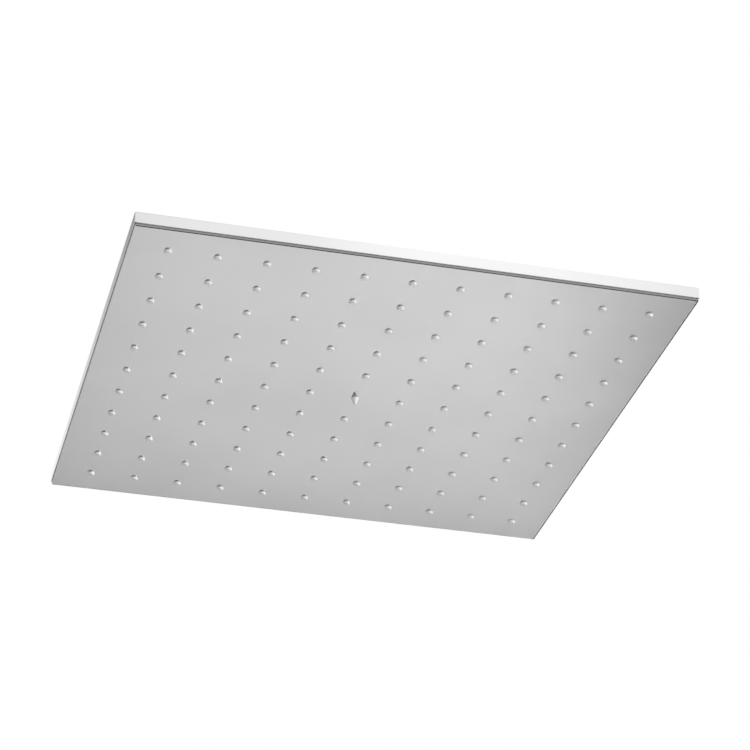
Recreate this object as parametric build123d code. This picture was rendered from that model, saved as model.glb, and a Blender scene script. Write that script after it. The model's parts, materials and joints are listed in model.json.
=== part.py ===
from build123d import *
import math
import os

# Square rain shower head on a ball joint, in millimetres, +Z up.
# The origin is the middle of the inlet's mouth, where the head screws on to its arm. The head hangs below it.

# Casing and spray plate
head_size = 300.0  # side of the square casing
casing_sheet = 1.0  # steel of the folded casing
casing_skirt = 6.4  # height of the casing's side
casing_fold_r = 0.6  # outside rounding of the folds
casing_corner_r = 0.8  # corners of the casing seen from above
shadow_gap = 0.4  # open joint between the casing's skirt and the plate
plate_sheet = 1.4  # steel of the spray plate
plate_inset = 0.5  # the plate stands this far inside the casing's outline
plate_corner_r = 0.8  # corners of the plate seen from below
plate_edge_r = 0.35  # rounded lower edge of the plate

# Nozzles
nozzle_rows = 11  # rows and columns of the nozzle field
nozzle_margin = 21.0  # casing's side to the outer row
nozzle_root_r = 2.3  # silicone nozzle in the plate
nozzle_tip_r = 1.8  # nozzle at its tip
nozzle_height = 1.4  # tip below the plate
nozzle_gap = 0.05  # nozzle to the edge of its hole

# Water chamber
mat_sheet = 1.0  # silicone mat that carries the nozzles
tray_top = 1.5  # top wall of the moulded tray
chamber_reach = 4.4  # chamber beyond the outer row of nozzles
inner_gap = 0.3  # tray and mat inside the casing's skirt
mat_collar_r = 4.0  # collar of the mat round the centre screw

# Studs that hold plate, mat and tray together
stud_r = 1.5
stud_gap = 0.2  # stud to its hole
stud_spans = 3  # spaces between studs along a side
pillar_row = 3  # inner pillars stand past this row of nozzles, counted from the side
nut_across = 5.5
nut_height = 2.4
nut_gap = 0.05  # nuts and washers on their threads
stud_washer_r = 3.4
stud_washer_sheet = 0.5
pocket_gap = 0.2  # room round and over nut and washer
pillar_wall = 1.2  # tray round a nut's pocket

# Inlet
inlet_bore_r = 9.315  # core of a half inch pipe thread
thread_length = 10.0  # thread for the arm
insert_bore_r = 9.0  # smooth recess below the thread
hex_across = 24.0
hex_floor = 2.5  # metal between inlet and neck
seal_washer_hole_r = 6.5
seal_washer_sheet = 2.5
insert_gap = 0.1  # inserts inside their recess
screen_sheet = 0.4
screen_rise = 1.2  # crown of the sieve
regulator_height = 4.0
regulator_seal_sheet = 1.4  # square ring round the regulator
regulator_port_r = 1.3
regulator_ports = 8
regulator_hub_r = 2.0

# Ball joint
ball_r = 11.0
neck_r = 6.5
waterway_r = 4.5  # bore through ball and neck
ball_gap = 0.05  # running clearance of ball and liners
liner_sheet = 1.75  # slip ring and seal, ball to back
swing_stop = 17.5  # tilt in degrees at which the neck would meet the collar
swing_gap = 0.4  # room left at that tilt
slip_angles = (15.0, 30.0, 42.0)  # slip ring, degrees above the equator: edge, line of contact, edge
seal_angles = (18.0, 38.0, 55.0)  # ball seal, degrees below the equator: the same
collar_thread_r = 16.0
thread_gap = 0.1
collar_wall = 2.4
collar_lip = 1.5
collar_grip = 9.0  # collar below the ball's middle
collar_flat_cut = 1.0  # depth of its two spanner flats
collar_edge = 1.0  # chamfer of its upper edge
rim_gap = 0.3  # collar over the socket's rim

# Socket and what clamps it to the casing
socket_floor = 1.5  # metal under the seat
flange_r = 24.0
flange_sheet = 3.0
flange_edge_r = 1.0
gasket_sheet = 1.0
tail_r = 10.0
tail_gap = 0.2  # tail in casing and tray
tail_end = 0.2  # thread below the lock nut
passage_r = 7.0  # waterway in the socket
web_sheet = 2.0  # bridge across the tail for the centre screw
web_ports = 4
web_port_r = 1.9
lock_nut_across = 27.0
lock_nut_height = 1.5
lock_washer_r = 15.0
lock_washer_sheet = 0.4

# Centre screw
cone_root_r = 2.35
cone_tip_r = 0.8
cone_tip_share = 0.8  # how much of the tip its rounding takes
cone_height = 4.0
screw_r = 1.5
screw_gap = 0.1  # screw in plate and mat
screw_end = 0.4  # thread above the bridge


def sin(angle):
    return math.sin(math.radians(angle))


def cos(angle):
    return math.cos(math.radians(angle))


# Radii of the ball joint, outwards from the ball
liner_face_r = ball_r + ball_gap
liner_back_r = liner_face_r + liner_sheet
seat_r = liner_back_r + ball_gap
hex_corner_r = hex_across / math.sqrt(3)

# The collar's mouth clears the neck at the swing stop, and the hexagon then clears the collar
slip_touch = slip_angles[1]
mouth_reach = neck_r + swing_gap + sin(swing_stop) * (seat_r / sin(slip_touch) + collar_lip)
mouth_r = mouth_reach / (cos(swing_stop) + sin(swing_stop) * cos(slip_touch) / sin(slip_touch))
lip_under = (seat_r - mouth_r * cos(slip_touch)) / sin(slip_touch)
lip_top = lip_under + collar_lip
neck_reach = (lip_top + swing_gap + hex_corner_r * sin(swing_stop)) / cos(swing_stop)
seal_touch = seal_angles[1]
seat_depth = (seat_r - passage_r * cos(seal_touch)) / sin(seal_touch)
seat_shoulder = (seat_r - seat_r * cos(seal_touch)) / sin(seal_touch)
lip_shoulder = (seat_r - seat_r * cos(slip_touch)) / sin(slip_touch)

# Levels, downwards from the inlet's mouth
inlet_depth = thread_length + seal_washer_sheet + regulator_height
z_hex_low = -inlet_depth - hex_floor
z_ball = z_hex_low - neck_reach
z_flange_low = z_ball - seat_depth - socket_floor
z_casing_top = z_flange_low - gasket_sheet
z_tray_top = z_casing_top - casing_sheet
z_tray_under = z_tray_top - tray_top
z_skirt_low = z_casing_top - casing_skirt
z_plate_top = z_skirt_low - shadow_gap
z_plate_low = z_plate_top - plate_sheet
z_mat_top = z_plate_top + mat_sheet
z_nut_top = z_tray_under - lock_washer_sheet
z_tail_low = z_nut_top - lock_nut_height - tail_end

# Plan sizes of the head
plate_size = head_size - 2 * plate_inset
tray_size = head_size - 2 * casing_sheet - 2 * inner_gap
field_half = head_size / 2 - nozzle_margin
pitch = 2 * field_half / (nozzle_rows - 1)
chamber_half = field_half + chamber_reach
stud_line = (chamber_half + tray_size / 2) / 2
pocket_r = stud_washer_r + pocket_gap
pocket_depth = stud_washer_sheet + nut_height + pocket_gap
z_pocket = z_tray_top - pocket_depth


def turned(*points):
    """Solid turned about Z from a closed outline of (radius, height) points."""
    outline = Polyline(*[(r, 0, z) for r, z in points], close=True)
    return revolve(make_face(outline), Axis.Z)


def ring(outer_r, inner_r, low, high):
    """Plain ring about Z between two levels."""
    return turned((inner_r, low), (outer_r, low), (outer_r, high), (inner_r, high))


def disc(radius, low, high):
    """Plain cylinder about Z between two levels."""
    return Pos(0, 0, low) * Cylinder(radius, high - low, align=(Align.CENTER, Align.CENTER, Align.MIN))


def slab(size, low, high, corner_r=0.0):
    """Square slab between two levels, with its corners rounded in plan."""
    outline = RectangleRounded(size, size, corner_r) if corner_r else Rectangle(size, size)
    return Pos(0, 0, low) * extrude(outline, high - low)


def drilled(places, radius, low, high):
    """Upright cylinders at the given places, to cut holes with."""
    return [Pos(x, y, 0) * disc(radius, low, high) for x, y in places]


def hexagon(across, low, high):
    """Hexagon prism between two levels."""
    outline = RegularPolygon(across / 2, 6, major_radius=False)
    return Pos(0, 0, low) * extrude(outline, high - low)


def nozzle_places():
    """Square field of nozzles, without the one in the middle."""
    middle = (nozzle_rows - 1) / 2
    steps = [(i - middle) * pitch for i in range(nozzle_rows)]
    return [(x, y) for x in steps for y in steps if (x, y) != (0, 0)]


def pillar_places():
    """Four places between the nozzles, half way out from the middle."""
    reach = field_half - (pillar_row - 0.5) * pitch
    return [(x, y) for x in (-reach, reach) for y in (-reach, reach)]


def stud_places():
    """Studs along the rim, and the four on the pillars."""
    steps = [stud_line * (2 * i / stud_spans - 1) for i in range(stud_spans + 1)]
    rim = [(x, y) for x in steps for y in steps if stud_line in (abs(x), abs(y))]
    return rim + pillar_places()


def around(count, radius):
    """Places evenly round the axis."""
    turns = [360 * i / count for i in range(count)]
    return [(radius * cos(turn), radius * sin(turn)) for turn in turns]


def casing():
    """Folded tray, open below, with the hole for the socket's tail."""
    shell = slab(head_size, z_skirt_low, z_casing_top, casing_corner_r)
    shell = fillet(shell.faces().sort_by(Axis.Z)[-1].edges(), casing_fold_r)
    hollow = slab(head_size - 2 * casing_sheet, z_skirt_low, z_tray_top)
    return shell - hollow - disc(tail_r + tail_gap, z_tray_top, z_casing_top)


def face_plate():
    """Spray plate with its nozzle holes and the middle hole."""
    hole_r = nozzle_root_r + nozzle_gap
    outline = RectangleRounded(plate_size, plate_size, plate_corner_r)
    outline -= [Pos(x, y) * Circle(hole_r) for x, y in nozzle_places()]
    outline -= Circle(screw_r + screw_gap)
    plate = Pos(0, 0, z_plate_low) * extrude(outline, plate_sheet)
    return fillet(plate.faces().sort_by(Axis.Z)[0].outer_wire().edges(), plate_edge_r)


def nozzle_mat():
    """Silicone mat on the back of the plate, its nozzles through the holes, with a collar for the screw."""
    outline = Rectangle(tray_size, tray_size)
    outline -= [Pos(x, y) * Circle(stud_r + stud_gap) for x, y in stud_places()]
    mat = Pos(0, 0, z_plate_top) * extrude(outline, mat_sheet)
    z_tip = z_plate_low - nozzle_height
    nozzle = turned(
        (0, z_tip),
        (nozzle_tip_r, z_tip),
        (nozzle_root_r, z_plate_low),
        (nozzle_root_r, z_plate_top),
        (0, z_plate_top),
    )
    mat += [Pos(x, y) * nozzle for x, y in nozzle_places()]
    mat += disc(mat_collar_r, z_mat_top, z_tail_low)
    return mat - disc(screw_r + screw_gap, z_plate_top, z_tail_low)


def chamber_tray():
    """Moulded back of the water chamber: top wall, clamping rim and four pillars, with nut pockets."""
    tray = slab(tray_size, z_mat_top, z_tray_top) - slab(2 * chamber_half, z_mat_top, z_tray_under)
    tray += drilled(pillar_places(), pocket_r + pillar_wall, z_mat_top, z_tray_under)
    tray -= drilled(stud_places(), stud_r + stud_gap, z_mat_top, z_tray_top)
    tray -= drilled(stud_places(), pocket_r, z_pocket, z_tray_top)
    return tray - disc(tail_r + tail_gap, z_tray_under, z_tray_top)


def plate_studs():
    """Threaded studs welded to the back of the plate."""
    z_end = z_pocket + stud_washer_sheet + nut_height
    return Compound(children=drilled(stud_places(), stud_r, z_plate_top, z_end))


def stud_washers():
    """Washers in the pockets, under the nuts."""
    washer = ring(stud_washer_r, stud_r + nut_gap, z_pocket, z_pocket + stud_washer_sheet)
    return Compound(children=[Pos(x, y) * washer for x, y in stud_places()])


def stud_nuts():
    """Nuts on the studs."""
    low = z_pocket + stud_washer_sheet
    nut = hexagon(nut_across, low, low + nut_height) - disc(stud_r + nut_gap, low, low + nut_height)
    return Compound(children=[Pos(x, y) * nut for x, y in stud_places()])


def centre_screw():
    """Screw in the middle of the face, with a cone for a head, rounded at its tip."""
    z_tip = z_plate_low - cone_height
    z_end = z_tail_low + web_sheet + screw_end
    screw = turned(
        (0, z_tip),
        (cone_tip_r, z_tip),
        (cone_root_r, z_plate_low),
        (screw_r, z_plate_low),
        (screw_r, z_end),
        (0, z_end),
    )
    tip = screw.edges().filter_by(GeomType.CIRCLE).sort_by(Axis.Z)[0]
    return fillet(tip, cone_tip_share * cone_tip_r)


def ball_socket():
    """Turned boss: seat for the ball, outside thread for the collar, flange, and a tail with a bridge."""
    z_flange_top = z_flange_low + flange_sheet
    z_seat_low = z_ball - seat_depth
    socket = turned(
        (passage_r, z_tail_low),
        (tail_r, z_tail_low),
        (tail_r, z_flange_low),
        (flange_r, z_flange_low),
        (flange_r, z_flange_top),
        (collar_thread_r, z_flange_top),
        (collar_thread_r, z_ball),
        (seat_r, z_ball),
        (seat_r, z_ball - seat_shoulder),
        (passage_r, z_seat_low),
    )
    rims = socket.edges().filter_by(GeomType.CIRCLE).group_by(SortBy.RADIUS)[-1]
    socket = fillet(rims.sort_by(Axis.Z)[-1], flange_edge_r)
    port_circle = (screw_r + passage_r) / 2
    z_web_top = z_tail_low + web_sheet
    web = disc(passage_r, z_tail_low, z_web_top) - disc(screw_r + nut_gap, z_tail_low, z_web_top)
    return socket + (web - drilled(around(web_ports, port_circle), web_port_r, z_tail_low, z_web_top))


def socket_gasket():
    """Rubber ring between flange and casing."""
    return ring(flange_r, tail_r + tail_gap, z_casing_top, z_flange_low)


def lock_washer():
    """Thin washer between tray and lock nut."""
    return ring(lock_washer_r, tail_r + nut_gap, z_nut_top, z_tray_under)


def lock_nut():
    """Thin nut on the socket's tail, inside the chamber."""
    low = z_nut_top - lock_nut_height
    return hexagon(lock_nut_across, low, z_nut_top) - disc(tail_r + nut_gap, low, z_nut_top)


def collar_nut():
    """Nut that closes the ball in: cone seat, mouth for the neck, and two spanner flats."""
    outer_r = collar_thread_r + thread_gap + collar_wall
    z_low = z_ball - collar_grip
    z_top = z_ball + lip_top
    collar = turned(
        (collar_thread_r + thread_gap, z_low),
        (outer_r, z_low),
        (outer_r, z_top - collar_edge),
        (outer_r - collar_edge, z_top),
        (mouth_r, z_top),
        (mouth_r, z_ball + lip_under),
        (seat_r, z_ball + lip_shoulder),
        (seat_r, z_ball + rim_gap),
        (collar_thread_r + thread_gap, z_ball + rim_gap),
    )
    across = 2 * (outer_r - collar_flat_cut)
    along = 2 * (outer_r + collar_wall)
    flats = Pos(0, 0, z_low) * extrude(Rectangle(across, along), z_top - z_low)
    return collar & flats


def liner(angles, side):
    """Ring round the ball: a ball-shaped back, and a cone inside that meets the ball along one circle."""
    edge, touch, end = angles
    back = [(liner_back_r * cos(a), side * liner_back_r * sin(a)) for a in (edge, (edge + end) / 2, end)]
    heights = (liner_back_r * sin(end), liner_back_r * sin(edge))
    face = [((liner_face_r - h * sin(touch)) / cos(touch), side * h) for h in heights]
    first, middle, last = [(r, 0, z_ball + z) for r, z in back]
    upper, lower = [(r, 0, z_ball + z) for r, z in face]
    outline = [ThreePointArc(first, middle, last), Polyline(last, upper, lower, first)]
    return revolve(make_face(outline), Axis.Z)


def slip_ring():
    """Upper liner, between ball and collar."""
    return liner(slip_angles, 1)


def ball_seal():
    """Lower liner, between ball and socket, which keeps the water in."""
    return liner(seal_angles, -1)


def swivel_ball():
    """Ball, neck and hexagon in one turned piece, with the inlet and the waterway."""
    end_r = (waterway_r + neck_r) / 2
    end_drop = math.sqrt(ball_r**2 - end_r**2)
    neck_rise = math.sqrt(ball_r**2 - neck_r**2)
    bottom = (end_r, 0, z_ball - end_drop)
    shoulder = (neck_r, 0, z_ball + neck_rise)
    surface = ThreePointArc(bottom, (ball_r, 0, z_ball), shoulder)
    rest = Polyline(
        shoulder,
        (neck_r, 0, z_hex_low),
        (waterway_r, 0, z_hex_low),
        (waterway_r, 0, z_ball - end_drop),
        bottom,
    )
    stem = revolve(make_face([surface, rest]), Axis.Z)
    flat_r = hex_across / 2
    corner = (hex_corner_r - flat_r) / 2
    blank = turned(
        (0, z_hex_low),
        (flat_r, z_hex_low),
        (hex_corner_r, z_hex_low + corner),
        (hex_corner_r, -corner),
        (flat_r, 0),
        (0, 0),
    )
    head = hexagon(hex_across, z_hex_low, 0) & blank
    head -= disc(waterway_r, z_hex_low, -inlet_depth)
    head -= disc(insert_bore_r, -inlet_depth, -thread_length)
    return stem + (head - disc(inlet_bore_r, -thread_length, 0))


def flow_regulator():
    """Insert on the inlet's floor: a grooved disc with flow ports round a hub."""
    outer_r = insert_bore_r - insert_gap
    low = -inlet_depth
    high = low + regulator_height
    groove_r = outer_r - regulator_seal_sheet
    z_groove = (low + high - regulator_seal_sheet) / 2
    body = turned(
        (0, low),
        (outer_r, low),
        (outer_r, z_groove),
        (groove_r, z_groove),
        (groove_r, z_groove + regulator_seal_sheet),
        (outer_r, z_groove + regulator_seal_sheet),
        (outer_r, high),
        (0, high),
    )
    port_circle = (regulator_hub_r + seal_washer_hole_r) / 2
    return body - drilled(around(regulator_ports, port_circle), regulator_port_r, low, high)


def regulator_seal():
    """Square ring in the regulator's groove."""
    outer_r = insert_bore_r - insert_gap
    low = -inlet_depth + (regulator_height - regulator_seal_sheet) / 2
    return ring(outer_r, outer_r - regulator_seal_sheet, low, low + regulator_seal_sheet)


def filter_washer():
    """Rubber washer that the arm's end presses on."""
    low = -thread_length - seal_washer_sheet
    return ring(insert_bore_r - insert_gap, seal_washer_hole_r, low, -thread_length)


def filter_screen():
    """Sieve in the washer's hole, crowned upwards."""
    low = -thread_length - seal_washer_sheet
    edge_r = seal_washer_hole_r - insert_gap
    under_r = edge_r - screen_sheet
    under_top = (0, 0, low + screen_rise)
    over_top = (0, 0, low + screen_rise + screen_sheet)
    under = ThreePointArc((-under_r, 0, low), under_top, (under_r, 0, low))
    half_under = ThreePointArc(under @ 0.5, under @ 0.75, under @ 1)
    over = ThreePointArc((-edge_r, 0, low), over_top, (edge_r, 0, low))
    half_over = ThreePointArc(over @ 0.5, over @ 0.75, over @ 1)
    outline = [half_under, half_over, Line(under @ 0.5, over @ 0.5), Line(under @ 1, over @ 1)]
    return revolve(make_face(outline), Axis.Z)


pieces = (
    casing,
    face_plate,
    nozzle_mat,
    chamber_tray,
    plate_studs,
    stud_washers,
    stud_nuts,
    centre_screw,
    ball_socket,
    socket_gasket,
    lock_washer,
    lock_nut,
    collar_nut,
    slip_ring,
    ball_seal,
    swivel_ball,
    flow_regulator,
    regulator_seal,
    filter_washer,
    filter_screen,
)

os.makedirs("parts", exist_ok=True)
for piece in pieces:
    export_step(piece(), os.path.join("parts", piece.__name__ + ".step"))
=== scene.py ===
"""Looks of a square rain shower head on its ball joint: finishes, fine shapes and a studio."""

import json
import logging
import math
from dataclasses import dataclass
from enum import Enum
from functools import cache, reduce
from typing import ClassVar, Iterable, Sequence, Union

import bmesh
import bpy
from mathutils import Matrix, Quaternion, Vector


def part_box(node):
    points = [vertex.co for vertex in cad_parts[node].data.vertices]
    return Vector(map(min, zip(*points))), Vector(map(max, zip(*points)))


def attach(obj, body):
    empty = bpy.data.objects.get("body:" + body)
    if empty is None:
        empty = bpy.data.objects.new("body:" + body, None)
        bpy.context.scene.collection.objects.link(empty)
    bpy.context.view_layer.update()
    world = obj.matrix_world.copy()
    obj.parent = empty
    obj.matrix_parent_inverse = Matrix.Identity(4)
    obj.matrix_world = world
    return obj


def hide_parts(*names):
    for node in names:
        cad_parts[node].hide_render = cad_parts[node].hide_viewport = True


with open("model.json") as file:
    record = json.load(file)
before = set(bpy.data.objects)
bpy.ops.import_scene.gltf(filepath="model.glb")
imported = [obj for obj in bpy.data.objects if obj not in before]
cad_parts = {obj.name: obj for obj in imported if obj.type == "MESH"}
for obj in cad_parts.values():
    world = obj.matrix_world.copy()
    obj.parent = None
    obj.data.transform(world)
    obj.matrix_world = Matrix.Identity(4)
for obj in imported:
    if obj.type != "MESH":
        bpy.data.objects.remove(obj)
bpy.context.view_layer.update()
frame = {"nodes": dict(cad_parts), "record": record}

log = logging.getLogger("shower_head")

MM = 0.001
FULL_TURN = 2.0 * math.pi
QUARTER_TURN = FULL_TURN / 4.0
MERGE_DISTANCE = 0.001 * MM
ORIGIN = (0.0, 0.0, 0.0)
Z_AXIS = (0.0, 0.0, 1.0)

Colour = tuple[float, float, float, float]
Span = tuple[float, float]
Place = tuple[float, float, float]
Shape = bmesh.types.BMesh
Section = list[Union[bmesh.types.BMVert, bmesh.types.BMEdge]]
Node = bpy.types.Node
Socket = bpy.types.NodeSocket
Sockets = bpy.types.NodeOutputs
Value = Union[float, Sequence[float], Socket]
Inputs = dict[Union[str, int], Value]


def grey(level: float, warmth: float = 0.0) -> Colour:
    """Give a grey of the linear level, a little warmer or cooler."""
    return (level * (1.0 + warmth), level, level * (1.0 - warmth), 1.0)


WHITE = grey(1.0)


class Body(str, Enum):
    """Rigid bodies that new pieces ride on, as the joints name them."""

    INLET = "inlet"
    HEAD = "head"


class Slot(str, Enum):
    """Material slots of the record."""

    POLISHED_STEEL = "polished_steel"
    NOZZLE_SILICONE = "nozzle_silicone"
    TRAY_PLASTIC = "tray_plastic"
    FASTENER_STEEL = "fastener_steel"
    CHROMED_BRASS = "chromed_brass"
    BLACK_RUBBER = "black_rubber"
    LINER_PLASTIC = "liner_plastic"
    REGULATOR_PLASTIC = "regulator_plastic"
    SCREEN_STEEL = "screen_steel"


class Graph:
    """Adds nodes to one node tree and joins their sockets."""

    def __init__(self, tree: bpy.types.NodeTree) -> None:
        """Empty the tree and keep it."""
        tree.nodes.clear()
        self.tree = tree

    def feed(self, node: Node, inputs: Inputs) -> None:
        """Give a node its inputs.

        Args:
            node: The node.
            inputs: Values, or sockets to join, by the input's name or index.
        """
        for key, value in inputs.items():
            if isinstance(value, Socket):
                self.tree.links.new(value, node.inputs[key])
            else:
                node.inputs[key].default_value = value

    def add(self, kind: str, inputs: Inputs | None = None, **settings: object) -> Node:
        """Add one node.

        Args:
            kind: Blender's name of the node type.
            inputs: Values or sockets for the node's inputs, by name or index.
            settings: Properties of the node, such as its operation.

        Returns:
            The new node.
        """
        node = self.tree.nodes.new(kind)
        for name, setting in settings.items():
            setattr(node, name, setting)
        self.feed(node, inputs or {})
        return node

    def math(self, operation: str, first: Value, second: Value = 0.0) -> Socket:
        """Add a Math node and give its result."""
        return self.add("ShaderNodeMath", {0: first, 1: second}, operation=operation).outputs[0]

    def largest(self, *values: Value) -> Socket:
        """Give the largest of some values."""
        return reduce(lambda first, second: self.math("MAXIMUM", first, second), values)

    def spread(self, value: Socket, low: float, high: float, start: float = 0.0, end: float = 1.0) -> Socket:
        """Map a value from start..end to low..high.

        Args:
            value: The socket to map.
            low: Result at the start of the span.
            high: Result at its end.
            start: Where the span starts.
            end: Where it ends.

        Returns:
            The mapped value, held inside the two results.
        """
        inputs = {"Value": value, "From Min": start, "From Max": end, "To Min": low, "To Max": high}
        return self.add("ShaderNodeMapRange", inputs).outputs["Result"]

    def object_place(self) -> Socket:
        """Give the place on the object, in the frame."""
        return self.add("ShaderNodeTexCoord").outputs["Object"]

    def noise(self, place: Socket, scale: Value, detail: float) -> Socket:
        """Add soft noise and give its value."""
        inputs = {"Vector": place, "Scale": scale, "Detail": detail}
        return self.add("ShaderNodeTexNoise", inputs).outputs["Fac"]

    def relief(self, height: Socket, distance: float, strength: float) -> Socket:
        """Turn a height into a normal."""
        inputs = {"Height": height, "Distance": distance, "Strength": strength}
        return self.add("ShaderNodeBump", inputs).outputs["Normal"]

    def tints(self, value: Socket, first: Colour, second: Colour) -> Socket:
        """Run from one colour to another with a value."""
        ramp = self.add("ShaderNodeValToRGB", {"Fac": value})
        ramp.color_ramp.elements[0].color = first
        ramp.color_ramp.elements[1].color = second
        return ramp.outputs["Color"]

    def blend(self, share: Socket, first: Socket, second: Socket) -> Socket:
        """Blend two colours by a share of the second."""
        mix = self.add("ShaderNodeMix", data_type="RGBA")
        ends = {socket.name: socket for socket in mix.inputs if socket.enabled}
        for name, socket in (("Factor", share), ("A", first), ("B", second)):
            self.tree.links.new(socket, ends[name])
        return next(socket for socket in mix.outputs if socket.enabled)


class SharedEffect:
    """Node groups that more than one finish uses, each built once.

    Noise stays near its middle value, so a span says which part of it is drawn out to 0..1.
    """

    PATCH_SPAN: ClassVar[Span] = (0.38, 0.66)
    PATCH_DETAIL: ClassVar[float] = 4.0
    LINE_STRETCH: ClassVar[Place] = (1.0, 24.0, 24.0)
    LINE_DETAIL: ClassVar[float] = 3.0
    SKIN_SPAN: ClassVar[Span] = (0.3, 0.7)
    SKIN_DETAIL: ClassVar[float] = 2.0

    @staticmethod
    def _open(name: str, inputs: Iterable[str], outputs: Iterable[str]) -> tuple[Graph, Sockets]:
        """Open a new group.

        Args:
            name: Name of the group.
            inputs: Names of its inputs, which each use sets.
            outputs: Names of its outputs.

        Returns:
            The group's graph and the sockets of its inputs.
        """
        tree = bpy.data.node_groups.new(name, "ShaderNodeTree")
        for way, labels in (("INPUT", inputs), ("OUTPUT", outputs)):
            for label in labels:
                tree.interface.new_socket(label, in_out=way, socket_type="NodeSocketFloat")
        graph = Graph(tree)
        return graph, graph.add("NodeGroupInput").outputs

    @classmethod
    @cache
    def polish_marks(cls) -> bpy.types.NodeTree:
        """Cloudy patches and fine lines that polishing and handling leave on metal.

        Returns:
            The group, with the outputs Patches and Lines.
        """
        graph, given = cls._open("polish_marks", ("Patch Scale", "Line Scale"), ("Patches", "Lines"))
        place = graph.object_place()
        cloud = graph.noise(place, given["Patch Scale"], cls.PATCH_DETAIL)
        drawn = graph.add("ShaderNodeMapping", {"Vector": place, "Scale": cls.LINE_STRETCH})
        lines = graph.noise(drawn.outputs["Vector"], given["Line Scale"], cls.LINE_DETAIL)
        patches = graph.spread(cloud, 0.0, 1.0, *cls.PATCH_SPAN)
        graph.add("NodeGroupOutput", {"Patches": patches, "Lines": lines})
        return graph.tree

    @classmethod
    @cache
    def moulded_skin(cls) -> bpy.types.NodeTree:
        """Soft mottle and fine grain of a moulded surface.

        Returns:
            The group, with the outputs Mottle and Grain.
        """
        graph, given = cls._open("moulded_skin", ("Mottle Scale", "Grain Scale"), ("Mottle", "Grain"))
        place = graph.object_place()
        mottle = graph.noise(place, given["Mottle Scale"], cls.SKIN_DETAIL)
        grain = graph.noise(place, given["Grain Scale"], cls.SKIN_DETAIL)
        even = graph.spread(mottle, 0.0, 1.0, *cls.SKIN_SPAN)
        graph.add("NodeGroupOutput", {"Mottle": even, "Grain": grain})
        return graph.tree


@dataclass(frozen=True)
class Finish:
    """A finish with a name, whose material is made once."""

    name: str

    @cache
    def material(self) -> bpy.types.Material:
        """Make the material the first time and hand it out after that."""
        material = bpy.data.materials.new(self.name)
        material.use_nodes = True
        graph = Graph(material.node_tree)
        shader = graph.add("ShaderNodeBsdfPrincipled")
        self.lay(graph, shader)
        graph.add("ShaderNodeOutputMaterial", {"Surface": shader.outputs["BSDF"]})
        return material

    def lay(self, graph: Graph, shader: Node) -> None:
        """Feed the shader; each kind of finish has its own way."""
        raise NotImplementedError


@dataclass(frozen=True)
class Metal(Finish):
    """Polished, plated or drawn metal."""

    bright: Colour
    dull: Colour
    smooth: float
    rough: float
    patch_scale: float
    line_scale: float = 60.0
    line_height: float = 0.2 * MM
    line_strength: float = 0.05

    def lay(self, graph: Graph, shader: Node) -> None:
        """Lay cloudy patches into colour and gloss, and fine lines into the relief."""
        scales = {"Patch Scale": self.patch_scale, "Line Scale": self.line_scale}
        marks = graph.add("ShaderNodeGroup", scales, node_tree=SharedEffect.polish_marks()).outputs
        graph.feed(
            shader,
            {
                "Base Color": graph.tints(marks["Patches"], self.bright, self.dull),
                "Metallic": 1.0,
                "Roughness": graph.spread(marks["Patches"], self.smooth, self.rough),
                "Normal": graph.relief(marks["Lines"], self.line_height, self.line_strength),
            },
        )


@dataclass(frozen=True)
class EdgedMetal(Finish):
    """Polished square sheet whose edge is ground satin, with painted shade in its colour: a near-black line
    along its lower edge and a darker grey wall above it.

    Attributes:
        polish: Finish of the rest of the sheet.
        reach: Distances from the middle over which the ground edge and its painted shade set in.
        wider: What is added to that distance on the right, left, far and near side.
        wall_low: Heights over which the line gives way to the wall.
        shade_line_tint: Colour of the line, painted shade.
        shaded_wall_tint: Colour of the wall, painted shade.
        edge_rough: Least roughness of both.
    """

    polish: Metal
    reach: Span
    wider: tuple[float, float, float, float]
    wall_low: Span
    shade_line_tint: Colour = grey(0.05)
    shaded_wall_tint: Colour = grey(0.35)
    edge_rough: float = 0.3

    def lay(self, graph: Graph, shader: Node) -> None:
        """Lay the polish, then the edge over it: painted shade in its colour and a ground satin in its
        gloss.
        """
        self.polish.lay(graph, shader)
        parts = graph.add("ShaderNodeSeparateXYZ", {"Vector": graph.object_place()}).outputs
        right, left, far, near = self.wider
        out = graph.largest(
            graph.math("ADD", parts["X"], right),
            graph.math("SUBTRACT", left, parts["X"]),
            graph.math("ADD", parts["Y"], far),
            graph.math("SUBTRACT", near, parts["Y"]),
        )
        edge = graph.spread(out, 0.0, 1.0, *self.reach)
        rise = graph.spread(parts["Z"], 0.0, 1.0, *self.wall_low)
        # painted shade: a near-black line at the lower edge that runs up into a darker grey wall
        wall = graph.tints(rise, self.shade_line_tint, self.shaded_wall_tint)
        colour = shader.inputs["Base Color"].links[0].from_socket
        gloss = shader.inputs["Roughness"].links[0].from_socket
        graph.feed(
            shader,
            {
                "Base Color": graph.blend(edge, colour, wall),
                "Roughness": graph.largest(gloss, graph.math("MULTIPLY", edge, self.edge_rough)),
            },
        )


@dataclass(frozen=True)
class Moulding(Finish):
    """Moulded silicone, rubber or plastic."""

    light: Colour
    dark: Colour
    smooth: float
    rough: float
    mottle_scale: float = 90.0
    grain_scale: float = 2500.0
    grain_height: float = 0.02 * MM
    grain_strength: float = 0.3
    metallic: float = 0.0

    def lay(self, graph: Graph, shader: Node) -> None:
        """Lay the mottle into the colour, and the grain into gloss and relief."""
        scales = {"Mottle Scale": self.mottle_scale, "Grain Scale": self.grain_scale}
        skin = graph.add("ShaderNodeGroup", scales, node_tree=SharedEffect.moulded_skin()).outputs
        graph.feed(
            shader,
            {
                "Base Color": graph.tints(skin["Mottle"], self.light, self.dark),
                "Roughness": graph.spread(skin["Grain"], self.smooth, self.rough, *SharedEffect.SKIN_SPAN),
                "Metallic": self.metallic,
                "Normal": graph.relief(skin["Grain"], self.grain_height, self.grain_strength),
            },
        )


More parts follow.
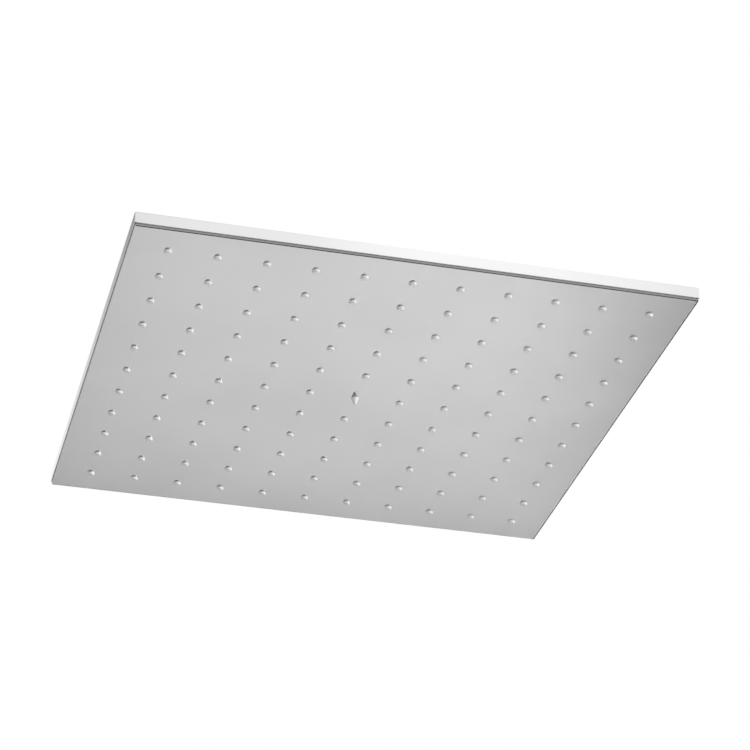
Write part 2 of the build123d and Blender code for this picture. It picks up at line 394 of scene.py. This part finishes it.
MIRROR_STEEL = Metal("mirror_steel", grey(0.94), grey(0.90), 0.035, 0.075, patch_scale=14.0)
FINISHES: dict[Slot, Finish] = {
    Slot.POLISHED_STEEL: MIRROR_STEEL,
    Slot.CHROMED_BRASS: Metal(
        "chrome_plate", grey(0.80, -0.01), grey(0.75, -0.01), 0.03, 0.08, patch_scale=90.0
    ),
    Slot.FASTENER_STEEL: Metal("plated_fastener", grey(0.62), grey(0.5), 0.22, 0.38, patch_scale=400.0),
    Slot.SCREEN_STEEL: Metal("drawn_wire", grey(0.66), grey(0.5), 0.18, 0.32, patch_scale=900.0),
    Slot.NOZZLE_SILICONE: Moulding(
        "silver_silicone", grey(0.95), grey(0.91), 0.05, 0.09, grain_height=0.006 * MM, metallic=0.97
    ),
    Slot.TRAY_PLASTIC: Moulding("tray_moulding", grey(0.30), grey(0.26), 0.42, 0.58),
    Slot.BLACK_RUBBER: Moulding(
        "black_seal_rubber", grey(0.028), grey(0.018), 0.5, 0.68, grain_scale=4000.0
    ),
    Slot.LINER_PLASTIC: Moulding("white_liner", grey(0.74, 0.01), grey(0.68, 0.01), 0.3, 0.42),
    Slot.REGULATOR_PLASTIC: Moulding(
        "regulator_moulding", (0.06, 0.27, 0.13, 1.0), (0.05, 0.23, 0.11, 1.0), 0.25, 0.36
    ),
}


def dress_node(name: str, finish: Finish) -> None:
    """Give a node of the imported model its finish.

    Args:
        name: The node.
        finish: What it is dressed with.
    """
    for material_slot in frame["nodes"][name].material_slots:
        material_slot.material = finish.material()
    log.info("dressed %s with %s", name, finish.name)


def finish_piece(
    name: str, shape: Shape, slot: Slot, body: Body, smooth_angle: float = 35.0
) -> bpy.types.Object:
    """Turn a shape into a finished piece that rides on a body.

    Args:
        name: Name of the new piece.
        shape: Its shape, in place; freed here.
        slot: The record's slot whose finish it takes.
        body: The body that it moves with.
        smooth_angle: Edges sharper than this, in degrees, stay crisp.

    Returns:
        The new piece.
    """
    bmesh.ops.recalc_face_normals(shape, faces=shape.faces)
    limit = math.radians(smooth_angle)
    for edge in shape.edges:
        edge.smooth = edge.calc_face_angle(0.0) < limit
    for face in shape.faces:
        face.smooth = True
    mesh = bpy.data.meshes.new(name)
    shape.to_mesh(mesh)
    shape.free()
    mesh.materials.append(FINISHES[slot].material())
    piece = bpy.data.objects.new(name, mesh)
    bpy.context.scene.collection.objects.link(piece)
    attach(piece, body.value)
    log.info("made %s with %d faces", name, len(mesh.polygons))
    return piece


def edges_of(verts: Iterable[bmesh.types.BMVert]) -> list[bmesh.types.BMEdge]:
    """Give the edges at some vertices, each once and in order."""
    return list(dict.fromkeys(edge for vert in verts for edge in vert.link_edges))


def line_section(shape: Shape, outline: Iterable[Sequence[float]]) -> Section:
    """Draw an open line in the plane of X and Z.

    Args:
        shape: Where the line goes.
        outline: Points of (radius, height) along it.

    Returns:
        Its vertices and edges.
    """
    verts = [shape.verts.new((radius, 0.0, height)) for radius, height in outline]
    return verts + [shape.edges.new(pair) for pair in zip(verts, verts[1:])]


def round_section(shape: Shape, sides: int, radius: float, place: Matrix) -> Section:
    """Draw a circle.

    Args:
        shape: Where the circle goes.
        sides: Its number of sides.
        radius: Its radius.
        place: Its place and direction.

    Returns:
        Its vertices and edges.
    """
    verts = bmesh.ops.create_circle(shape, segments=sides, radius=radius, matrix=place)["verts"]
    return verts + edges_of(verts)


def sweep(
    shape: Shape,
    section: Section,
    steps: int,
    angle: float = FULL_TURN,
    centre: Sequence[float] = ORIGIN,
    axis: Sequence[float] = Z_AXIS,
    rise: float = 0.0,
) -> None:
    """Sweep a section round an axis; a full turn closes on itself.

    Args:
        shape: Where the section is and the new faces go.
        section: Vertices and edges to sweep.
        steps: Steps of the sweep.
        angle: How far round it goes.
        centre: A point of the axis.
        axis: The axis's direction.
        rise: How far the section rises with each step.
    """
    bmesh.ops.spin(
        shape,
        geom=section,
        cent=centre,
        axis=axis,
        dvec=(0.0, 0.0, rise),
        angle=angle,
        steps=steps,
        use_merge=angle == FULL_TURN,
    )


def soften(shape: Shape, edges: list[bmesh.types.BMEdge], radius: float, segments: int) -> None:
    """Round edges.

    Args:
        shape: The shape.
        edges: Its edges to round.
        radius: How far the rounding reaches.
        segments: Steps of the rounding.
    """
    bmesh.ops.bevel(
        shape,
        geom=edges,
        offset=radius,
        offset_type="OFFSET",
        affect="EDGES",
        segments=segments,
        profile=0.5,
        material=-1,
    )


def shift(shape: Shape, parts: Iterable[object], way: Vector) -> None:
    """Move parts of a shape.

    Args:
        shape: The shape.
        parts: Its vertices to move; edges and faces among them go along.
        way: How far and where to.
    """
    verts = [part for part in parts if isinstance(part, bmesh.types.BMVert)]
    bmesh.ops.translate(shape, verts=verts, vec=way)


@dataclass
class SprayFace:
    """Spray plate, the silicone mat behind it with its nozzles, and the screw in the middle.

    The support is how far beside a nozzle's edges the rings lie that keep them crisp to the light. The
    plate's ground edge, with painted shade in its colour, sets in over the distances ground_shade_in from
    its sides, and gives way to its wall over the heights ground_shade_up from its face; ground_shade_wider
    moves it per side, so the painted shade reaches further in on the right and far sides and less far on the
    left.
    """

    rows: int = 11
    margin: float = 21.0 * MM
    sheet: float = 1.0 * MM
    sheet_edge: float = 0.2 * MM
    root_r: float = 2.34 * MM
    tip_r: float = 1.8 * MM
    tip_round: float = 0.15 * MM
    round_steps: int = 2
    support: float = 0.03 * MM
    bore_r: float = 0.2 * MM
    bore_depth: float = 1.0 * MM
    screw_collar_r: float = 4.0 * MM
    segments: int = 16
    # where the plate's ground edge and its painted shade lie
    ground_shade_in: Span = (0.32 * MM, 0.24 * MM)
    ground_shade_up: Span = (0.2886 * MM, 0.3686 * MM)
    ground_shade_wider: tuple[float, float, float, float] = (0.45 * MM, -0.25 * MM, 0.32 * MM, 0.0)

    def places(self) -> list[Vector]:
        """Give the middles of the nozzles, a square field without the one in the middle."""
        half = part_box("casing")[1].x - self.margin
        steps = [half * (2.0 * i / (self.rows - 1) - 1.0) for i in range(self.rows)]
        spots = [Vector((x, y, 0.0)) for x in steps for y in steps]
        return [spot for spot in spots if spot.length > self.root_r]

    def nozzle(self) -> Shape:
        """Shape one nozzle at the middle of the face.

        Returns:
            A tapered spout with a rounded tip and a bore, its root inside the mat; rings beside
            the edges keep its flank straight and its tip flat to the light.
        """
        low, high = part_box("face_plate")
        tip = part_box("nozzle_mat")[0].z
        root = high.z + self.sheet / 2.0
        start, end = Vector((self.root_r, low.z)), Vector((self.tip_r, tip))
        along = (end - start).normalized()
        held = self.tip_round + self.support
        outline = [
            (0.0, root),
            (self.root_r, root),
            start,
            start + along * self.support,
            end - along * held,
            end,
            (self.tip_r - held, tip),
            (self.bore_r, tip),
            (self.bore_r, tip + self.bore_depth),
            (0.0, tip + self.bore_depth),
        ]
        shape = bmesh.new()
        sweep(shape, line_section(shape, outline), self.segments)
        bmesh.ops.remove_doubles(shape, verts=shape.verts, dist=MERGE_DISTANCE)
        rim = {v for v in shape.verts if (Vector((v.co.xy.length, v.co.z)) - end).length < self.support}
        edges = [edge for edge in shape.edges if rim.issuperset(edge.verts)]
        soften(shape, edges, self.tip_round, self.round_steps)
        return shape

    def build_mat(self) -> None:
        """Make the mat: a sheet with a softened edge, the screw's collar and a nozzle at every place."""
        low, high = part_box("nozzle_mat")
        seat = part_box("face_plate")[1].z
        shape = self.nozzle()
        first = [*shape.verts, *shape.edges, *shape.faces]
        spots = self.places()
        for spot in spots[1:]:
            shift(shape, bmesh.ops.duplicate(shape, geom=first)["geom"], spot)
        shift(shape, first, spots[0])
        size = Vector((high.x - low.x, high.y - low.y, self.sheet))
        place = Matrix.Translation((0.0, 0.0, seat + self.sheet / 2.0)) @ Matrix.Diagonal(size).to_4x4()
        sheet = bmesh.ops.create_cube(shape, size=1.0, matrix=place)["verts"]
        soften(shape, edges_of(sheet), self.sheet_edge, self.round_steps)
        bmesh.ops.create_cone(
            shape,
            cap_ends=True,
            segments=2 * self.segments,
            radius1=self.screw_collar_r,
            radius2=self.screw_collar_r,
            depth=high.z - seat,
            matrix=Matrix.Translation((0.0, 0.0, (seat + high.z) / 2.0)),
        )
        piece = finish_piece("nozzle_mat_moulding", shape, Slot.NOZZLE_SILICONE, Body.HEAD)
        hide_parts("nozzle_mat")

    def plate_finish(self) -> EdgedMetal:
        """Set the ground edge of the plate's finish, with its painted shade, out from its sides and its
        face.
        """
        low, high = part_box("face_plate")
        return EdgedMetal(
            "mirror_steel_with_ground_and_shaded_edge",
            MIRROR_STEEL,
            reach=tuple(high.x - inset for inset in self.ground_shade_in),
            wider=self.ground_shade_wider,
            wall_low=tuple(low.z + rise for rise in self.ground_shade_up),
        )

    def build(self) -> None:
        """Make the mat, and dress the plate and the screw."""
        self.build_mat()
        dress_node("face_plate", self.plate_finish())
        dress_node("centre_screw", FINISHES[Slot.POLISHED_STEEL])


@dataclass
class Casing:
    """Folded cover with what clamps the socket to it, and the chamber inside."""

    fasteners: tuple[str, ...] = ("plate_studs", "stud_washers", "stud_nuts", "lock_washer", "lock_nut")

    def build(self) -> None:
        """Dress the cover, its gasket and the pieces inside."""
        dress_node("casing", FINISHES[Slot.POLISHED_STEEL])
        dress_node("socket_gasket", FINISHES[Slot.BLACK_RUBBER])
        dress_node("chamber_tray", FINISHES[Slot.TRAY_PLASTIC])
        for name in self.fasteners:
            dress_node(name, FINISHES[Slot.FASTENER_STEEL])


@dataclass
class BallJoint:
    """Socket, collar and ball with the two rings that the ball turns in."""

    plated: tuple[str, ...] = ("ball_socket", "collar_nut", "swivel_ball")

    def build(self) -> None:
        """Dress the joint's pieces."""
        for name in self.plated:
            dress_node(name, FINISHES[Slot.CHROMED_BRASS])
        dress_node("slip_ring", FINISHES[Slot.LINER_PLASTIC])
        dress_node("ball_seal", FINISHES[Slot.BLACK_RUBBER])


@dataclass
class Inlet:
    """Threaded inlet with its washer, woven sieve and flow regulator."""

    thread_pitch: float = 1.814 * MM
    thread_depth: float = 0.35 * MM
    thread_run_in: float = 0.7 * MM
    turn_steps: int = 48
    wire_r: float = 0.11 * MM
    mesh_step: float = 0.8 * MM
    rim_r: float = 0.2 * MM
    wire_sides: int = 6
    wire_steps: int = 14
    wire_smooth_angle: float = 80.0

    def build_thread(self) -> None:
        """Make the thread's ridge, one helix down the bore."""
        dims = frame["record"]["mounts"][0]["dims"]
        bore_r = dims["r_mm"] * MM
        length = dims["length_mm"] * MM - 2.0 * self.thread_run_in
        half = self.thread_pitch / 2.0
        top = -self.thread_run_in - half
        turns = (length - self.thread_pitch) / self.thread_pitch
        ridge = [(bore_r, top + half), (bore_r - self.thread_depth, top), (bore_r, top - half)]
        shape = bmesh.new()
        sweep(
            shape,
            line_section(shape, ridge),
            steps=round(turns * self.turn_steps),
            angle=turns * FULL_TURN,
            rise=-self.thread_pitch / self.turn_steps,
        )
        finish_piece("inlet_thread_ridge", shape, Slot.CHROMED_BRASS, Body.INLET)

    def build_sieve(self) -> None:
        """Make the woven sieve: crossing wires on a crowned disc, held in a rim."""
        low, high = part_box("filter_screen")
        rim_r = high.x - self.rim_r
        layers = 2.0 * (2.0 * self.wire_r)
        rise = high.z - low.z - 2.0 * self.rim_r - layers
        ball_r = (rim_r**2 + rise**2) / (2.0 * rise)
        middle = low.z + self.rim_r + rise - ball_r
        shape = bmesh.new()
        count = math.floor(rim_r / self.mesh_step)
        for turn, lift in ((0.0, -self.wire_r), (QUARTER_TURN, self.wire_r)):
            about = Matrix.Rotation(turn, 4, "Z")
            for i in range(-count, count + 1):
                self._wire(shape, about, i * self.mesh_step, rim_r, ball_r + lift, middle)
        place = Matrix.Translation((rim_r, 0.0, low.z + self.rim_r)) @ Matrix.Rotation(QUARTER_TURN, 4, "X")
        sweep(shape, round_section(shape, 2 * self.wire_sides, self.rim_r, place), self.turn_steps)
        piece = finish_piece("woven_sieve", shape, Slot.SCREEN_STEEL, Body.INLET, self.wire_smooth_angle)
        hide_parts("filter_screen")

    def _wire(
        self, shape: Shape, about: Matrix, offset: float, rim_r: float, ball_r: float, middle: float
    ) -> None:
        """Add one wire of the sieve, an arc over its crown.

        Args:
            shape: Where the wire goes.
            about: Turn about Z that gives the wire its direction.
            offset: Distance of the wire from the middle of the sieve.
            rim_r: Radius of the rim that the wire ends in.
            ball_r: Radius of the ball that the sieve is a cap of.
            middle: Height of that ball's middle.
        """
        arc_r = math.sqrt(ball_r**2 - offset**2)
        reach = math.asin(math.sqrt(rim_r**2 - offset**2) / arc_r)
        centre = Vector((0.0, offset, middle))
        lean = Matrix.Translation(centre) @ Matrix.Rotation(-reach, 4, "Y")
        end = lean @ Matrix.Translation((0.0, 0.0, arc_r)) @ Matrix.Rotation(QUARTER_TURN, 4, "Y")
        section = round_section(shape, self.wire_sides, self.wire_r, about @ end)
        axis = about @ Vector((0.0, 1.0, 0.0))
        sweep(shape, section, self.wire_steps, 2.0 * reach, about @ centre, axis)

    def build(self) -> None:
        """Make the fine pieces and dress the inserts."""
        self.build_thread()
        self.build_sieve()
        dress_node("filter_washer", FINISHES[Slot.BLACK_RUBBER])
        dress_node("regulator_seal", FINISHES[Slot.BLACK_RUBBER])
        dress_node("flow_regulator", FINISHES[Slot.REGULATOR_PLASTIC])


@dataclass(frozen=True)
class Lamp:
    """One soft lamp, which shines straight down unless it has a target.

    Attributes:
        name: Name of the lamp.
        place: Where it hangs, in metres.
        size: Its width and depth in metres.
        power: Its power in watts.
        turn: Turn about the way it shines, in degrees.
        target: The point that it shines at.
    """

    name: str
    place: Place
    size: Span
    power: float
    turn: float = 0.0
    target: Place | None = None

    def hang(self) -> None:
        """Make the lamp, which neither the camera nor a reflection shows, and turn it."""
        light = bpy.data.lights.new(self.name, "AREA")
        light.shape = "RECTANGLE"
        light.size, light.size_y = self.size
        light.energy = self.power
        lamp = bpy.data.objects.new(self.name, light)
        aim = Vector(self.target) - Vector(self.place) if self.target else -Vector(Z_AXIS)
        spin = Quaternion(Z_AXIS, math.radians(self.turn))
        lamp.rotation_mode = "QUATERNION"
        lamp.rotation_quaternion = aim.to_track_quat("-Z", "Y") @ spin
        lamp.location = self.place
        lamp.visible_camera = False
        lamp.visible_glossy = False
        bpy.context.scene.collection.objects.link(lamp)
        log.info("hung %s", self.name)


HEAD_MIDDLE: Place = (0.0, 0.0, -0.05)
# the face shows the pools in the main view, and the washes keep the floor pale further out
LAMPS: tuple[Lamp, ...] = (
    Lamp("floor_pool", (0.503, 3.13, -1.61), (1.02, 2.729), 7.11, turn=-6.2),
    Lamp("back_pool", (1.258, 3.598, -1.61), (0.056, 1.946), 2.74, turn=-12.8),
    Lamp("right_pool", (1.318, 0.512, -1.5), (0.3, 2.126), 9.5, turn=-38.2),
    Lamp("left_wash", (-3.75, 0.0, -1.5), (3.0, 9.6), 77.0),
    Lamp("near_wash", (1.6, -3.7, -1.5), (7.0, 2.8), 52.0),
    Lamp("right_wash", (4.0, 1.4, -1.5), (2.6, 6.8), 47.0),
    Lamp("far_wash", (-1.45, 3.8, -1.5), (1.4, 2.4), 10.0),
    Lamp("side_key", (1.3, -0.7, -0.9), (0.7, 0.7), 12.0, target=HEAD_MIDDLE),
    Lamp("overhead", (-0.1, -0.1, 0.6), (0.5, 0.5), 3.4, target=HEAD_MIDDLE),
)


@dataclass
class Studio:
    """Pale floor, white surroundings, soft lamps and the camera under the head.

    The head is a mirror, so the pools and washes light the floor that it shows. Lengths are metres and
    angles degrees. The spans of ceiling and walls, and the left and right ones, are parts of a heading
    of length 1, with X to the right, Y away and Z up.
    """

    floor_level: float = -2.1
    floor_size: float = 12.0
    floor_light: Colour = grey(0.80)
    floor_dark: Colour = grey(0.77)
    floor_cloud: float = 1.5
    floor_detail: float = 2.0
    floor_rough: float = 0.9
    floor_fade: Span = (5.15, 6.3)
    far_mirror: float = 0.6
    sky_fill: float = 0.076
    ceiling_span: Span = (0.44, 0.53)
    ceiling_shade: Span = (0.21, 0.66)
    ceiling_depth: Span = (-0.8, 0.8)
    ceiling_sides: Span = (0.1, 0.22)
    ceiling_right: Span = (0.275, 0.315)
    right_shade: float = 0.15
    wall_span: Span = (0.30, 0.42)
    left_wall: Span = (0.42, 0.76)
    left_span: Span = (-1.0, 0.2)
    right_span: Span = (0.2, 0.66)
    azimuth: float = 13.689
    elevation: float = 28.941
    roll: float = 0.424
    distance: float = 1.516985
    aim: Span = (4.298 * MM, -29.3 * MM)
    lens: float = 132.266
    sensor: float = 36.0
    lamps: tuple[Lamp, ...] = LAMPS

    def floor_material(self) -> bpy.types.Material:
        """Make the floor's material, which turns white far from the head.

        Returns:
            The material; the white is there to be looked at, also in mirrors, and lights nothing.
        """
        material = bpy.data.materials.new("pale_floor")
        material.use_nodes = True
        graph = Graph(material.node_tree)
        place = graph.object_place()
        cloud = graph.noise(place, self.floor_cloud, self.floor_detail)
        tint = graph.tints(cloud, self.floor_light, self.floor_dark)
        matt = graph.add("ShaderNodeBsdfPrincipled", {"Base Color": tint, "Roughness": self.floor_rough})
        rays = graph.add("ShaderNodeLightPath").outputs
        seen = graph.largest(rays["Is Camera Ray"], rays["Is Transmission Ray"], rays["Is Glossy Ray"])
        reach = graph.add("ShaderNodeVectorMath", {0: place}, operation="LENGTH").outputs["Value"]
        share = graph.math("MULTIPLY", seen, graph.spread(reach, 0.0, 1.0, *self.floor_fade))
        strength = graph.spread(rays["Is Glossy Ray"], 1.0, self.far_mirror)
        glow = graph.add("ShaderNodeEmission", {"Color": WHITE, "Strength": strength})
        ends = {0: share, 1: matt.outputs["BSDF"], 2: glow.outputs["Emission"]}
        faded = graph.add("ShaderNodeMixShader", ends)
        graph.add("ShaderNodeOutputMaterial", {"Surface": faded.outputs["Shader"]})
        return material

    def lay_floor(self) -> None:
        """Lay the floor, which isn't part of the head."""
        shape = bmesh.new()
        place = Matrix.Translation((0.0, 0.0, self.floor_level))
        bmesh.ops.create_grid(shape, x_segments=1, y_segments=1, size=self.floor_size / 2.0, matrix=place)
        mesh = bpy.data.meshes.new("studio_floor")
        shape.to_mesh(mesh)
        shape.free()
        mesh.materials.append(self.floor_material())
        floor = bpy.data.objects.new("studio_floor", mesh)
        bpy.context.scene.collection.objects.link(floor)
        log.info("laid the floor")

    def _ceiling(self, graph: Graph, heading: Sockets) -> Socket:
        """Give the ceiling's level in reflections.

        Args:
            graph: The surroundings' graph.
            heading: Sockets of the heading's X, Y and Z.

        Returns:
            The level, greyer to the left and far off, and a little greyer on the right.
        """
        height = graph.spread(heading["Z"], 0.0, 1.0, *self.ceiling_span)
        side = graph.spread(heading["X"], 1.0, 0.0, *self.ceiling_sides)
        depth = graph.spread(heading["Y"], *self.ceiling_shade, *self.ceiling_depth)
        right = graph.spread(heading["X"], 0.0, self.right_shade, *self.ceiling_right)
        shade = graph.largest(graph.math("MULTIPLY", side, depth), right)
        return graph.math("SUBTRACT", 1.0, graph.math("MULTIPLY", height, shade))

    def _walls(self, graph: Graph, heading: Sockets) -> Socket:
        """Give the walls' level in reflections.

        Args:
            graph: The surroundings' graph.
            heading: Sockets of the heading's X, Y and Z.

        Returns:
            The level, grey on the left and white on the right.
        """
        height = graph.spread(heading["Z"], 1.0, 0.0, *self.wall_span)
        left = graph.spread(heading["X"], *self.left_wall, *self.left_span)
        right = graph.spread(heading["X"], 0.0, 1.0, *self.right_span)
        shade = graph.math("SUBTRACT", 1.0, graph.largest(left, right))
        return graph.math("SUBTRACT", 1.0, graph.math("MULTIPLY", height, shade))

    def surround(self) -> None:
        """Make the surroundings white to look at, with a softer fill; reflections show greys."""
        world = bpy.data.worlds.new("studio_surroundings")
        world.use_nodes = True
        graph = Graph(world.node_tree)
        rays = graph.add("ShaderNodeLightPath").outputs
        way = graph.add("ShaderNodeTexCoord").outputs["Generated"]
        heading = graph.add("ShaderNodeSeparateXYZ", {"Vector": way}).outputs
        greys = graph.math("MULTIPLY", self._ceiling(graph, heading), self._walls(graph, heading))
        mirrored = graph.math("MULTIPLY", rays["Is Glossy Ray"], greys)
        fill = graph.math("MULTIPLY", graph.math("SUBTRACT", 1.0, rays["Is Glossy Ray"]), self.sky_fill)
        light = graph.math("ADD", fill, mirrored)
        level = graph.largest(rays["Is Camera Ray"], rays["Is Transmission Ray"], light)
        background = graph.add("ShaderNodeBackground", {"Color": WHITE, "Strength": level})
        graph.add("ShaderNodeOutputWorld", {"Surface": background.outputs["Background"]})
        bpy.context.scene.world = world
        log.info("set the surroundings")

    def place_camera(self) -> None:
        """Set the camera below the head, to its left, looking up at the face."""
        turn, rise = math.radians(self.azimuth), math.radians(self.elevation)
        ahead = Vector((math.sin(turn) * math.cos(rise), math.cos(turn) * math.cos(rise), math.sin(rise)))
        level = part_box("face_plate")[0].z
        lens = bpy.data.cameras.new("studio_camera")
        lens.lens = self.lens
        lens.sensor_width = self.sensor
        camera = bpy.data.objects.new("studio_camera", lens)
        camera.rotation_mode = "QUATERNION"
        tilt = Quaternion(Z_AXIS, math.radians(self.roll))
        camera.rotation_quaternion = ahead.to_track_quat("-Z", "Y") @ tilt
        camera.location = Vector((*self.aim, level)) - ahead * self.distance
        bpy.context.scene.collection.objects.link(camera)
        bpy.context.scene.camera = camera
        log.info("placed the camera")

    def build(self) -> None:
        """Set up the whole studio."""
        bpy.context.scene.view_settings.view_transform = "Standard"
        self.lay_floor()
        self.surround()
        for lamp in self.lamps:
            lamp.hang()
        self.place_camera()


def main() -> None:
    """Build the head's assemblies and the studio in order."""
    logging.basicConfig(level=logging.INFO, format="%(name)s: %(message)s")
    for assembly in (SprayFace(), Casing(), BallJoint(), Inlet(), Studio()):
        assembly.build()


if __name__ == "__main__":
    main()
